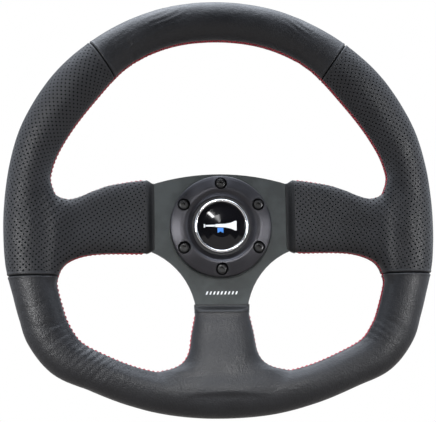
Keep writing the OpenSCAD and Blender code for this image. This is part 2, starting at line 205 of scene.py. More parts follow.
def mix(nt, fac, a, b):
    n = nt.nodes.new("ShaderNodeMix")
    n.data_type = "RGBA"
    nt.links.new(fac, n.inputs["Factor"])
    for k, v in ((6, a), (7, b)):
        if isinstance(v, tuple):
            n.inputs[k].default_value = (*v, 1)
        else:
            nt.links.new(v, n.inputs[k])
    return n.outputs[2]


def texture(nt, kind, scale, detail=2.0, vector=None, **kw):
    n = nt.nodes.new(kind)
    n.inputs["Scale"].default_value = scale
    if "Detail" in n.inputs:
        n.inputs["Detail"].default_value = detail
    for k, v in kw.items():
        if k in n.inputs:
            n.inputs[k].default_value = v
        else:
            setattr(n, k, v)
    if vector is not None:
        nt.links.new(vector, n.inputs["Vector"])
    return n


def bump(nt, height, dist, strength=1.0, normal=None):
    n = nt.nodes.new("ShaderNodeBump")
    n.inputs["Strength"].default_value = strength
    n.inputs["Distance"].default_value = dist
    nt.links.new(height, n.inputs["Height"])
    if normal is not None:
        nt.links.new(normal, n.inputs["Normal"])
    return n.outputs["Normal"]


def start(name, metallic=0.0, **fixed):
    m = bpy.data.materials.new(name)
    m.use_nodes = True
    nt = m.node_tree
    b = nt.nodes["Principled BSDF"]
    b.inputs["Metallic"].default_value = metallic
    for k, v in fixed.items():
        b.inputs[k.replace("_", " ")].default_value = v
    at = nt.nodes.new("ShaderNodeTexCoord").outputs["Object"]
    return m, nt, b, at


def scaled(c, k):
    return tuple(min(1.0, v * k) for v in c)


def leather(name, base, holes=False, grain=0.24, rough=(0.36, 0.50)):
    """Fine pebbled leather; painted shade darkens its seams and the line under its lacing, with round
    perforation if asked.
    """
    m, nt, b, at = start(name, Specular_IOR_Level=0.36)
    cloud = texture(nt, "ShaderNodeTexNoise", 38, 4, at).outputs["Fac"]
    crease = texture(nt, "ShaderNodeTexNoise", 260, 2, at).outputs["Fac"]
    fine = texture(nt, "ShaderNodeTexNoise", 420, 3, at).outputs["Fac"]
    pebble = texture(nt, "ShaderNodeTexVoronoi", 760, 0, at, feature="SMOOTH_F1", Smoothness=0.35)
    pores = texture(nt, "ShaderNodeTexVoronoi", 1500, 0, at)
    col = mix(nt, ramp(nt, cloud, 0.35, 0.68, 0, 1), scaled(base, 0.82), scaled(base, 1.24))
    col = mix(nt, ramp(nt, fine, 0.35, 0.7, 0, 0.55), col, scaled(base, 0.62))
    rgh = maths(nt, "ADD", ramp(nt, cloud, 0.3, 0.7, rough[0], rough[1]),
                ramp(nt, pebble.outputs["Distance"], 0.0, 0.8, -0.05, 0.07))
    n1 = bump(nt, fine, 0.00022, 0.30, bump(nt, crease, 0.0008, 0.30))
    n2 = bump(nt, pebble.outputs["Distance"], grain * MM, 0.55, n1)
    n3 = bump(nt, pores.outputs["Distance"], 0.00004, 0.35, n2)
    # Painted shade: near a seam or a lace line (the seam attribute) the colour darkens to 0.18 of the base,
    # where the seams dip and the thread lies.
    att = nt.nodes.new("ShaderNodeAttribute")
    att.attribute_name = "seam"
    seam_shade = ramp(nt, att.outputs["Fac"], 0.15, 0.9, 1.0, 0.0)
    col = mix(nt, seam_shade, col, scaled(base, 0.18))
    if holes:
        uv = nt.nodes.new("ShaderNodeUVMap")
        uv.uv_map = "skin"
        turn = nt.nodes.new("ShaderNodeMapping")
        turn.inputs["Rotation"].default_value = (0, 0, HOLE_TURN)
        nt.links.new(uv.outputs["UV"], turn.inputs["Vector"])
        dots = texture(nt, "ShaderNodeTexVoronoi", 100 / HOLE_PITCH, 0, turn.outputs["Vector"],
                       voronoi_dimensions="2D", Randomness=0.0)
        hole = ramp(nt, dots.outputs["Distance"], 0.15, 0.22, 1.0, 0.0)
        rim = nt.nodes.new("ShaderNodeAttribute")
        rim.attribute_name = "plain"
        hole = maths(nt, "MULTIPLY", hole, rim.outputs["Fac"])
        # Each hole is coloured almost black and turned metallic so it gives back next to no light: partly the
        # dark backing seen through a hole, partly painted shade inside it.
        col = mix(nt, hole, col, scaled(base, 0.05))
        rgh = maths(nt, "ADD", rgh, maths(nt, "MULTIPLY", hole, 0.3))
        nt.links.new(hole, b.inputs["Metallic"])
        n3 = bump(nt, maths(nt, "SUBTRACT", 1.0, hole), 0.00035, 0.9, n3)
    nt.links.new(col, b.inputs["Base Color"])
    nt.links.new(rgh, b.inputs["Roughness"])
    nt.links.new(n3, b.inputs["Normal"])
    return m


def metal(name, base, rough, metallic=1.0, brushed=False, turned=False, speck=0.0, wear=0.0,
          **fixed):
    """Anodised, blasted, turned or drawn metal, with worn edges where asked."""
    m, nt, b, at = start(name, metallic, **fixed)
    cloud = texture(nt, "ShaderNodeTexNoise", 60, 4, at).outputs["Fac"]
    fine = texture(nt, "ShaderNodeTexNoise", 1600, 2, at).outputs["Fac"]
    col = mix(nt, ramp(nt, cloud, 0.35, 0.68, 0, 1), scaled(base, 0.88), scaled(base, 1.13))
    if speck:
        col = mix(nt, ramp(nt, fine, 0.45, 0.75, 0, speck), col, scaled(base, 1.7))
    if wear:
        edge = nt.nodes.new("ShaderNodeNewGeometry").outputs["Pointiness"]
        worn = maths(nt, "MULTIPLY", ramp(nt, edge, 0.53, 0.62, 0, wear),
                     ramp(nt, cloud, 0.4, 0.62, 0.2, 1.0))
        col = mix(nt, worn, col, (0.42, 0.43, 0.44))
    rgh = ramp(nt, cloud, 0.3, 0.7, rough[0], rough[1])
    nrm = bump(nt, fine, 0.00005, 0.35)
    if turned or brushed:
        sep = nt.nodes.new("ShaderNodeSeparateXYZ")
        nt.links.new(at, sep.inputs[0])
        com = nt.nodes.new("ShaderNodeCombineXYZ")
        if turned:      # rings round the wheel's axis
            r = maths(nt, "SQRT", maths(nt, "ADD", maths(nt, "MULTIPLY", sep.outputs[0], sep.outputs[0]),
                                        maths(nt, "MULTIPLY", sep.outputs[2], sep.outputs[2])))
            nt.links.new(r, com.inputs[0])
            nt.links.new(sep.outputs[1], com.inputs[1])
        else:           # strokes along x
            nt.links.new(maths(nt, "MULTIPLY", sep.outputs[0], 0.02), com.inputs[0])
            nt.links.new(sep.outputs[1], com.inputs[1])
            nt.links.new(sep.outputs[2], com.inputs[2])
        line = texture(nt, "ShaderNodeTexNoise", 5200, 2, com.outputs[0]).outputs["Fac"]
        nrm = bump(nt, line, 0.00004, 0.5, nrm)
        rgh = maths(nt, "ADD", rgh, ramp(nt, line, 0.3, 0.7, -0.05, 0.06))
    nt.links.new(col, b.inputs["Base Color"])
    nt.links.new(rgh, b.inputs["Roughness"])
    nt.links.new(nrm, b.inputs["Normal"])
    return m


def moulded(name, base, rough, grain=0.00006, scale=1300, **fixed):
    """Moulded plastic, rubber, foam or print."""
    m, nt, b, at = start(name, 0.0, **fixed)
    cloud = texture(nt, "ShaderNodeTexNoise", 45, 3, at).outputs["Fac"]
    fine = texture(nt, "ShaderNodeTexNoise", scale, 2, at).outputs["Fac"]
    col = mix(nt, ramp(nt, cloud, 0.35, 0.68, 0, 1), scaled(base, 0.85), scaled(base, 1.2))
    nt.links.new(col, b.inputs["Base Color"])
    nt.links.new(ramp(nt, cloud, 0.3, 0.7, rough[0], rough[1]), b.inputs["Roughness"])
    nt.links.new(bump(nt, fine, grain, 0.5), b.inputs["Normal"])
    return m


def thread(name, base):
    """Twisted, waxed thread."""
    m, nt, b, at = start(name, 0.0, Sheen_Weight=0.25, Sheen_Roughness=0.4)
    twist = texture(nt, "ShaderNodeTexWave", 900, 1.5, at, bands_direction="DIAGONAL",
                    Distortion=2.0).outputs["Fac"]
    fuzz = texture(nt, "ShaderNodeTexNoise", 2500, 2, at).outputs["Fac"]
    col = mix(nt, ramp(nt, twist, 0.2, 0.8, 0, 1), scaled(base, 0.55), scaled(base, 1.25))
    nt.links.new(col, b.inputs["Base Color"])
    nt.links.new(ramp(nt, fuzz, 0.3, 0.7, 0.5, 0.72), b.inputs["Roughness"])
    nt.links.new(bump(nt, twist, 0.00012, 0.7, bump(nt, fuzz, 0.00006, 0.5)), b.inputs["Normal"])
    return m


# ---------------------------------------------------------- the padded surface

# Right half of the rim, from the top down: x, y, half width, half depth.
RIM = [
    (0, 171.6, 16.8, 14), (44.5, 165.7, 16.7, 14), (84.6, 146.8, 17.4, 14.3),
    (116.8, 116.8, 20.1, 15.4), (141.2, 81.5, 19, 15), (153.2, 49.6, 17.2, 14.5),
    (157, 12, 17.8, 14.5), (155, -25, 18.6, 14.5), (149.3, -52, 18, 14.3),
    (144.7, -69, 17.8, 14.2), (138.4, -86.4, 17.9, 14), (124.7, -104.2, 16.9, 13.8),
    (102.5, -115.7, 15.4, 13.5), (71.5, -128, 15.3, 13.5), (38, -135.4, 16.1, 13.5),
    (0, -137.8, 16.5, 13.5),
]
# Side spoke, outwards: x, low y, high y, back z, front z.
SIDE = [
    (40, -21.5, 38.8, -14, 1), (61, -21.5, 38.8, -14, 1), (68, -21.8, 38.2, -14, 1.5),
    (80, -21.6, 36.3, -14, 2.5), (92, -21.7, 33.7, -14, 4), (104, -22.5, 29.2, -13.8, 6),
    (114, -24.6, 24.6, -13.5, 8), (122, -28, 22.3, -13.2, 9.8), (127, -32, 22.8, -13, 11),
    (131, -38.5, 24.2, -13, 12), (134, -46, 26.6, -13, 12.5), (137, -50, 32.5, -12.5, 12.5),
    (142, -48, 41, -12, 12), (154, -30, 30, -11, 11),
]
# Bottom spoke, downwards: distance below the hub, half width, back z, front z.
BOTTOM = [
    (50, 22.2, -14, 1), (70, 22.2, -14, 1), (78, 23.4, -14, 2.6), (86, 25, -14, 4.2),
    (94, 26.2, -14, 5.8), (100, 27.2, -13.8, 7), (105, 29.2, -13.5, 8), (109, 32, -13.3, 8.8),
    (112, 35.8, -13, 9.4), (114.5, 41.5, -13, 9.9), (117, 49, -13, 10.4), (122, 54, -12.5, 11.4),
    (128, 50, -12, 12.6), (136, 40, -11, 13.4),
]
POWER = 3.2         # how square the spoke covers' sections are; 2 is an ellipse
ROUND = 2.1         # the same for the rim
BLEND = 7           # how far the spokes' covers run into the rim's
NO_PAD = 99         # a distance for where there is no cover
BLOCK = 20000       # points worked on at once
GRIP = np.array([157, 12])      # the rim's middle line beside the hub

half = np.array(RIM, float)
ring_points = np.vstack([half, (half * [-1, 1, 1, 1])[1:-1][::-1]])
LINE = even(spline(ring_points, 24, closed=True), 1.4, closed=True)
MID = LINE[:, :2]
TAN = np.roll(MID, -1, 0) - np.roll(MID, 1, 0)
TAN /= np.linalg.norm(TAN, axis=1)[:, None]
OUT = np.stack([-TAN[:, 1], TAN[:, 0]], 1)
OUT *= np.sign((OUT * MID).sum(1))[:, None]
RUN = np.concatenate([[0], np.cumsum(np.linalg.norm(np.diff(MID, axis=0), axis=1))])
SIZE = LINE[:, 2:4]
GROW = (np.roll(SIZE, -1, 0) - np.roll(SIZE, 1, 0)) / 2.8


def rim_place(x, y):
    """Way along the rim's middle line, offset outwards, half width, half depth."""
    q = np.stack([x, y], 1)
    best = np.empty(len(q), int)
    c2 = (MID ** 2).sum(1)
    for k in range(0, len(q), BLOCK):
        best[k:k + BLOCK] = (c2 - 2 * q[k:k + BLOCK] @ MID.T).argmin(1)
    d = q - MID[best]
    ds = (d * TAN[best]).sum(1)
    size = SIZE[best] + GROW[best] * ds[:, None]
    return RUN[best] + ds, (d * OUT[best]).sum(1), size[:, 0], size[:, 1]


def table(points):
    """Looks up the other columns of a table by its first one, on smooth curves."""
    p = spline(points, 10)
    return lambda at: [np.interp(at, p[:, 0], p[:, k]) for k in range(1, p.shape[1])]


side_at, bottom_at = table(SIDE), table(BOTTOM)


def egg(u, w, a, b, n=2.0):
    """Rough distance to a rounded section with half sizes a and b."""
    rho = (np.abs(u / a) ** n + np.abs(w / b) ** n) ** (1 / n)
    r = np.hypot(u, w)
    return np.where(rho > 1e-3, r * (1 - 1 / np.maximum(rho, 1e-3)), -np.minimum(a, b))


def smooth_min(a, b, k=BLEND):
    h = np.maximum(k - np.abs(a - b), 0) / k
    return np.minimum(a, b) - h * h * k / 4


def side_pad(x, y, z):
    low, high, back, front = side_at(x)
    d = egg(y - (low + high) / 2, z - (back + front) / 2, (high - low) / 2, (front - back) / 2, POWER)
    return np.maximum(d, np.maximum(x - 150, HEM_IN + 1.5 - x))


def bottom_pad(x, y, z):
    wide, back, front = bottom_at(-y)
    d = egg(x, z - (back + front) / 2, wide, (front - back) / 2, POWER)
    return np.maximum(d, np.maximum(-y - 132, y + 1.5 - HEM_TOP))


def skin(p, place=None):
    """About the distance from the padded surface, in mm; z from the rim's middle plane."""
    x, y, z = p[:, 0], p[:, 1], p[:, 2]
    s, u, a, b = rim_place(x, y) if place is None else place
    d = egg(u, z, a, b, ROUND)
    d = smooth_min(d, np.where(x > 20, side_pad(x, y, z), NO_PAD))
    d = smooth_min(d, np.where(x < -20, side_pad(-x, y, z), NO_PAD))
    return smooth_min(d, np.where(y < -40, bottom_pad(x, y, z), NO_PAD))


def slope(p, e=0.05):
    """The distance at each point and how it changes along each axis."""
    f0 = skin(p)
    g = np.stack([(skin(p + e * np.eye(3)[k]) - f0) / e for k in range(3)], 1)
    return f0, g


def settle(p, height=0.0, rounds=3):
    """Moves points along the slope onto the surface, or a height over it."""
    for _ in range(rounds):
        f, g = slope(p)
        p = p - ((f - height) / np.maximum((g * g).sum(1), 0.2))[:, None] * g
    return p


def normals(p):
    g = slope(p)[1]
    return g / np.maximum(np.linalg.norm(g, axis=1), 1e-6)[:, None]


def net(step, inset=0.0):
    """Quad mesh of the padded surface."""
    ax = [np.arange(-182, 182 + step, step), np.arange(-162, 196 + step, step),
          np.arange(-20, 20 + step, step)]
    gx, gy = np.meshgrid(ax[0], ax[1], indexing="ij")
    place = rim_place(gx.ravel(), gy.ravel())
    f = np.empty((len(ax[0]), len(ax[1]), len(ax[2])))
    for k, z in enumerate(ax[2]):
        q = np.stack([gx.ravel(), gy.ravel(), np.full(gx.size, z)], 1)
        f[:, :, k] = skin(q, place).reshape(gx.shape) + inset
    n = np.array(f.shape) - 1
    total, count = np.zeros((*n, 3)), np.zeros(n, int)
    corners = [(i, j, k) for i in (0, 1) for j in (0, 1) for k in (0, 1)]
    cut = lambda c: f[c[0]:c[0] + n[0], c[1]:c[1] + n[1], c[2]:c[2] + n[2]]
    for a in corners:
        for axis in range(3):
            if a[axis]:
                continue
            b = tuple(v + (k == axis) for k, v in enumerate(a))
            fa, fb = cut(a), cut(b)
            hit = (fa < 0) != (fb < 0)
            t = np.where(hit, fa / np.where(hit, fa - fb, 1), 0)
            for k in range(3):
                total[..., k] += np.where(hit, a[k] + (t if k == axis else 0), 0)
            count += hit
    live = count > 0
    index = np.full(n, -1)
    index[live] = np.arange(live.sum())
    v = np.argwhere(live) + total[live] / count[live][:, None]
    v = v * step + np.array([a[0] for a in ax])
    quads = []
    for axis in range(3):
        o1, o2 = [k for k in range(3) if k != axis]
        lo = [slice(None)] * 3
        lo[axis] = slice(0, n[axis])
        hi = list(lo)
        hi[axis] = slice(1, n[axis] + 1)
        fa, fb = f[tuple(lo)], f[tuple(hi)]
        hit = (fa < 0) != (fb < 0)
        for o in (o1, o2):
            edge = [slice(None)] * 3
            edge[o] = [0, hit.shape[o] - 1]
            hit[tuple(edge)] = False
        c = np.argwhere(hit)
        e1, e2 = np.eye(3, dtype=int)[o1], np.eye(3, dtype=int)[o2]
        q = np.stack([index[tuple((c - a).T)] for a in (e1 + e2, e2, 0 * e1, e1)], 1)
        flip = (fa[tuple(c.T)] < 0) ^ (axis == 1)
        q[flip] = q[flip][:, ::-1]
        quads.append(q)
    quads = np.concatenate(quads)
    # even the mesh out, then bring it back onto the surface
    e = np.concatenate([quads[:, [k, (k + 1) % 4]] for k in range(4)])
    deg = np.bincount(e.ravel(), minlength=len(v))
    for _ in range(3):
        mean = np.stack([np.bincount(e[:, 0], v[e[:, 1], k], len(v))
                         + np.bincount(e[:, 1], v[e[:, 0], k], len(v)) for k in range(3)], 1)
        v = v + 0.5 * (mean / deg[:, None] - v)
        v = settle(v, -inset, 1)
    return settle(v, -inset, 2), quads


verts, quads = net(1.6)
me = bpy.data.meshes.new("skin_all")
me.from_pydata(verts.tolist(), [], quads.tolist())
bm = bmesh.new()
bm.from_mesh(me)
bpy.data.meshes.remove(me)
bmesh.ops.recalc_face_normals(bm, faces=bm.faces)


def cut_plane(point, normal, near, clear=False):
    """Cuts the faces that near() picks, and clears what lies past the cut if asked."""
    faces = [f for f in bm.faces if near(f.calc_center_median())]
    geom = faces + list({e for f in faces for e in f.edges}) + list({v for f in faces for v in f.verts})
    bmesh.ops.bisect_plane(bm, geom=geom, plane_co=point, plane_no=normal, clear_outer=clear, dist=1e-5)


# Covers end in planes on the spokes, a little under their hems.
TUCK = 1.2
cut_plane((HEM_X - TUCK, 0, 0), (-1, 0, 0), lambda c: 20 < c.x < 90 and -50 < c.y < 60, True)
cut_plane((-HEM_X + TUCK, 0, 0), (1, 0, 0), lambda c: -90 < c.x < -20 and -50 < c.y < 60, True)
cut_plane((0, HEM_Y + TUCK, 0), (0, 1, 0), lambda c: abs(c.x) < 40 and -90 < c.y < -40, True)
ca, sa = math.cos(SEAM_A), math.sin(SEAM_A)
# Cuts beside each seam, closer together towards its middle.
for t in (-2.6, -1.7, -1.1, -0.65, -0.3, 0, 0.3, 0.65, 1.1, 1.7, 2.6):
    for sx in (1, -1):
        cut_plane((sx * t * ca, -t * sa, 0), (sx * ca, -sa, 0),
                  lambda c: c.y > 60 and abs(sx * c.x * ca - c.y * sa) < 8 and c.x * sx > 0)
    cut_plane((0, SEAM_Y + t, 0), (0, 1, 0), lambda c: abs(c.y - SEAM_Y) < 8 and abs(c.x) > 100)

bm.verts.ensure_lookup_table()
P = np.array([v.co for v in bm.verts])
FACES = [[v.index for v in f.verts] for f in bm.faces]
bm.free()
CEN = np.array([P[f].mean(0) for f in FACES])
NRM = normals(P)


def seam_distance(p):
    top = np.where(p[:, 1] > 60, np.abs(np.abs(p[:, 0]) * ca - p[:, 1] * sa), NO_PAD)
    low = np.where(np.abs(p[:, 0]) > 100, np.abs(p[:, 1] - SEAM_Y), NO_PAD)
    return np.minimum(top, low)


# Lines of lacing, along the middle of each window's edge.
TOP_LACE = [(0, 154.5), (22, 153.5), (45.3, 148), (71.7, 134.8), (96, 109.8), (110.2, 93),
            (124.8, 71.2), (136.4, 46), (136.8, 33.5), (131.4, 24.4), (122, 22.3), (114, 24.6),
            (104, 29.2), (92, 33.7), (80, 36.3), (68, 38.2), (HEM_X + 0.5, 38.8)]
LOW_LACE = [(HEM_X + 0.5, -21.5), (84, -21.6), (104, -22.5), (114, -24.6), (122, -28),
            (127.6, -33), (131.2, -40.5), (131.8, -51), (127.8, -67), (121.6, -80.5),
            (112.6, -91.2), (97, -101.5), (84, -108), (66, -113.6), (52, -116), (43, -114.6),
            (32.6, -109.2), (27.4, -100.5), (25.5, -89), (23.5, -78.7), (22.2, HEM_Y - 0.5)]


def lace_line(points):
    """The line on the surface, at the middle of the edge's depth."""
    q = np.array(points, float)
    x, y = np.abs(q[:, 0]), q[:, 1]
    side = side_at(x)
    mid_side = (side[2] + side[3]) / 2
    low = bottom_at(-y)
    mid_low = (low[1] + low[2]) / 2
    w_side = np.clip((134 - x) / 26, 0, 1) * ((y < 60) & (y > -60))
    w_low = np.clip((-y - 62) / 6, 0, 1) * np.clip((56 - x) / 20, 0, 1)
    z = mid_side * w_side + mid_low * w_low
    line = spline(np.column_stack([q, z]), 12)
    for _ in range(6):      # onto the surface without leaving the depth
        f, g = slope(line)
        g[:, 2] = 0
        line = line - (f / np.maximum((g * g).sum(1), 0.2))[:, None] * g
    return even(line, 1.0)


flip = np.array([-1.0, 1, 1])
top_right = lace_line(TOP_LACE)
low_right = lace_line(LOW_LACE)
LACES = {
    "lacing_top": np.vstack([top_right[::-1], top_right[1:] * flip]),
    "lacing_right": low_right,
    "lacing_left": low_right * flip,
}
ALL_LACE = np.concatenate(list(LACES.values()))


def lace_distance(p):
    out = np.full(len(p), float(NO_PAD))
    near = np.abs(p[:, 2]) < 16
    q = p[near]
    best = np.empty(len(q))
    for k in range(0, len(q), BLOCK):
        d = ((q[k:k + BLOCK, None] - ALL_LACE[None, ::2]) ** 2).sum(2)
        best[k:k + BLOCK] = np.sqrt(d.min(1))
    out[near] = best
    return out


def wave(p, size, seed):
    """Smooth noise from -1 to 1."""
    return np.array([noise.noise(Vector((v[0] / size + seed, v[1] / size, v[2] / size))) for v in p])


T = seam_distance(P)
L = lace_distance(P)
# Panels dip into their seams between two soft lips, and puff a little elsewhere.
drop = -1.15 * np.exp(-(T / 0.5) ** 2) + 0.28 * np.exp(-((T - 1.5) / 0.8) ** 2)
drop += -1.15 * np.exp(-(L / 2.3) ** 4) + 0.12 * np.exp(-((L - 4.0) / 1.2) ** 2)
drop += 0.16 * wave(P, 34, 3) + 0.05 * wave(P, 9, 11)
# Shallow creases across the rim: direction from the top in degrees, width, depth, lean.
CREASES = (
    (-27, 0.9, 0.42, 0.06), (-22.5, 0.7, 0.26, -0.05), (26, 0.9, 0.38, -0.07),
    (30.5, 0.7, 0.22, 0.04), (-119, 1.1, 0.45, 0.10), (-124, 0.8, 0.35, -0.06),
    (-113, 0.8, 0.22, 0.05), (121, 0.9, 0.25, -0.05), (-140, 1.0, 0.22, 0.04),
)
ang = np.degrees(np.arctan2(P[:, 0], P[:, 1]))
rad = np.hypot(P[:, 0], P[:, 1])
for a0, width, deep, lean in CREASES:
    off = ang - a0 - lean * (rad - 165) - 0.7 * np.sin(rad / 7.0 + a0)
    drop -= deep * np.exp(-(off / width) ** 2) * np.exp(-((rad - 158) / 13) ** 2)
# Groups of fine wrinkles: middle x, y, direction, pitch, half length, half width, depth.
WRINKLES = (
    (-44, 168, 28, 5.0, 15, 12, 0.30), (-73, 146, 40, 5.0, 11, 11, 0.30),
    (66, 164, -36, 5.0, 12, 11, 0.26), (-139, 9, 46, 5.2, 15, 15, 0.45),
    (-127, -80, 30, 5.2, 13, 15, 0.42), (-106, -106, 42, 5.2, 13, 17, 0.42),
    (128, -84, -32, 5.4, 11, 12, 0.22), (137, 8, -44, 5.4, 11, 10, 0.22),
)
for cx, cy, lean, pitch, long_, wide_, deep in WRINKLES:
    t = math.radians(lean)
    x, y = P[:, 0] - cx, P[:, 1] - cy
    along, across = x * math.cos(t) + y * math.sin(t), y * math.cos(t) - x * math.sin(t)
    fold = np.cos(2 * math.pi * across / pitch + 0.8 * np.sin(along / 5.0 + across / 9.0))
    fade = np.exp(-(along / long_) ** 2 - (across / wide_) ** 2) * np.clip((T - 3) / 4, 0, 1)
    drop += deep * fade * (0.5 * fold - 0.35 * (1 - fold) * (fold < 0))
P2 = P + NRM * drop[:, None]

# The leather's own map for its perforation: S along the rim, V across it from
# the outer edge. On a side spoke, S runs up and down and V towards the hub.
s_, u_, a_, b_ = rim_place(P[:, 0], P[:, 1])
mean_r = (a_ + b_) / 2
phi = np.arctan2(P[:, 2] / b_, u_ / a_)
d_rim = egg(u_, P[:, 2], a_, b_, ROUND)
d_pad = np.minimum(np.where(np.abs(P[:, 0]) > 20, side_pad(np.abs(P[:, 0]), P[:, 1], P[:, 2]), NO_PAD),
                   np.where(P[:, 1] < -60, bottom_pad(*P.T), NO_PAD))
m_pad = np.clip((d_rim - d_pad) / 8 + 0.5, 0, 1)
m_pad = m_pad * m_pad * (3 - 2 * m_pad)
reach = np.clip(-u_ - 0.8 * a_, 0, None)
v_tube = mean_r * np.abs(phi)
v_pad = mean_r * (math.pi / 2 + math.asin(0.8)) + reach
V = np.where(P[:, 2] > -5, 1, -1) * (v_tube * (1 - m_pad) + v_pad * m_pad)
V = np.where(m_pad < 0.5, np.sign(phi) * np.abs(V), V)


def beside(grip):
    """Way along the rim beside a grip, as if the rim were straight there."""
    k = np.argmin(((MID - grip) ** 2).sum(1))
    return RUN[k] + (P[:, 1] - grip[1]) * np.sign(TAN[k, 1])


side_s = np.where(P[:, 0] > 0, beside(GRIP), beside(GRIP * [-1, 1]))
S = s_ * (1 - m_pad) + side_s * m_pad
PLAIN = np.clip((np.minimum(T, L) - 2.2) / 0.6, 0, 1)
# Distance to the nearest seam or lace line; the leather paints shade into its colour near it.
SEAM = np.minimum(T, np.maximum(L - 0.2, 0.0))

is_top = (np.abs(CEN[:, 0]) * ca < CEN[:, 1] * sa) & (CEN[:, 1] > 60)
is_low = CEN[:, 1] < SEAM_Y
PARTS = {
    "skin_top": (is_top, "leather_top", "leather_smooth"),
    "skin_bottom": (is_low, "leather_bottom", "leather_smooth"),
    "skin_right": (~is_top & ~is_low & (CEN[:, 0] > 0), "leather_right", "leather_perforated"),
    "skin_left": (~is_top & ~is_low & (CEN[:, 0] < 0), "leather_left", "leather_perforated"),
}
smooth_leather = leather("leather_smooth_mat", (0.0095, 0.010, 0.012))
holed_leather = leather("leather_perforated_mat", (0.0115, 0.012, 0.014), holes=True, rough=(0.42, 0.56))
# The hems carry no seam attribute, so the painted seam shade darkens the whole hem to 0.18 of this colour.
hem_leather = leather("leather_hem_mat", (0.017, 0.0178, 0.0205), rough=(0.42, 0.55))

for name, (mask, node, slot) in PARTS.items():
    keep = np.flatnonzero(mask)
    used = np.unique(np.concatenate([FACES[k] for k in keep]))
    back = np.full(len(P), -1)
    back[used] = np.arange(len(used))
    q = P2[used]
    faces = [[int(back[i]) for i in FACES[k]] for k in keep]
    out = np.column_stack([q[:, 0], q[:, 1], q[:, 2] + RIM_Z])
    o = make(name, row(out), faces)
    at = o.data.attributes
    for label, val in (("seam", SEAM), ("plain", PLAIN)):
        a = at.new(label, "FLOAT", "POINT")
        a.data.foreach_set("value", val[used].astype(np.float32))
    uv = o.data.uv_layers.new(name="skin")
    co = []
    for poly, k in zip(o.data.polygons, keep):
        idx = FACES[k]
        vv = V[idx]
        if np.abs(vv).max() > 20:
            vv = np.abs(vv) * (1 if CEN[k, 2] > -5 * m_pad[idx[0]] else -1)
        ss = S[idx]
        if ss.max() - ss.min() > 200:
            ss = np.where(ss < 200, ss + RUN[-1], ss)
        co += [c for a, b in zip(ss, vv) for c in (a / 100, b / 100)]
    uv.data.foreach_set("uv", co)
    o.data.materials.append(holed_leather if slot == "leather_perforated" else smooth_leather)
    solid = o.modifiers.new("thickness", "SOLIDIFY")
    solid.thickness = LEATHER * MM
    solid.offset = -1
    solid.use_even_offset = False
    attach(o, "wheel")
    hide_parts(node)

fv, fq = net(5.0, LEATHER + 0.5)
foam = make("foam_body", row(np.column_stack([fv[:, :2], fv[:, 2] + RIM_Z])), fq.tolist())
fix_normals(foam)
foam.data.materials.append(moulded("foam_mat", (0.03, 0.03, 0.03), (0.75, 0.9), 0.0002, 700))
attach(foam, "wheel")
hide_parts("rim_foam")


# --------------------------------------------------------------------- lacing

thread_mat = thread("thread_mat", (0.42, 0.008, 0.030))
PITCH, REACH, THREAD_R = 3.7, 2.7, 0.50     # of a stitch, its half width, the thread
for name, line in LACES.items():
    s = np.concatenate([[0], np.cumsum(np.linalg.norm(np.diff(line, axis=0), axis=1))])
    n = int((s[-1] - 3) / PITCH)
    t0 = 1.5 + np.arange(n) * (s[-1] - 3) / n
    k = np.linspace(0, 1, 9)
    rings = []
    for turn in (1, -1):
        along = t0[:, None] + (k * 0.98) * PITCH
        base = np.stack([np.interp(along, s, line[:, c]) for c in range(3)], -1)
        tang = np.stack([np.interp(along + 0.5, s, line[:, c]) - np.interp(along - 0.5, s, line[:, c])
                         for c in range(3)], -1)
        tang /= np.maximum(np.linalg.norm(tang, axis=-1), 1e-6)[..., None]
        nn = normals(base.reshape(-1, 3)).reshape(base.shape)
        cross = np.cross(tang, nn)
        p = base + cross * (turn * REACH * (1 - 2 * k))[None, :, None]
        # it dives in at both ends, and one of the two crosses over the other
        lift = -1.15 + 0.85 * np.sin(math.pi * k) ** 0.5
        if turn > 0:
            lift = lift + 0.42 * np.exp(-((k - 0.5) / 0.16) ** 2)
        p = settle(p.reshape(-1, 3), 0.0, 2).reshape(p.shape)
        p = p + normals(p.reshape(-1, 3)).reshape(p.shape) * lift[None, :, None]
        rings += list(p)
    v, f = [], []
    for path in rings:
        r = tube(path, THREAD_R, 7)
        m, w = r.shape[:2]
        b0 = sum(len(x) for x in v)
        v.append(r.reshape(-1, 3))
        f += [(b0 + i * w + j, b0 + i * w + (j + 1) % w, b0 + (i + 1) * w + (j + 1) % w, b0 + (i + 1) * w + j)
              for i in range(m - 1) for j in range(w)]
        f += [tuple(b0 + j for j in range(w))[::-1], tuple(b0 + (m - 1) * w + j for j in range(w))]
    v = np.concatenate(v)
    o = make("stitches_" + name.split("_")[1], row(v + [0, 0, RIM_Z]), f)
    fix_normals(o)
    o.data.materials.append(thread_mat)
    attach(o, "wheel")
    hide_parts(name)


# ----------------------------------------------------------------------- hems

def section(cy, cz, a, b, n, across):
    """One ring of a spoke cover, square to x (across = 0) or to y (across = 1)."""
    t = np.linspace(0, 2 * math.pi, 120, endpoint=False)
    u = a * np.sign(np.cos(t)) * np.abs(np.cos(t)) ** (2 / n)
    w = b * np.sign(np.sin(t)) * np.abs(np.sin(t)) ** (2 / n)
    if across == 0:
        return np.stack([np.zeros_like(t), cy + u, cz + w], 1)
    return np.stack([u, np.full_like(t, cy), cz + w], 1)


def hem_profile(k):
    """How far the hem has come down from the cover's height to the plate's."""
    e = np.clip((k - 0.10) / 0.80, 0, 1)
    return e * e * (3 - 2 * e)


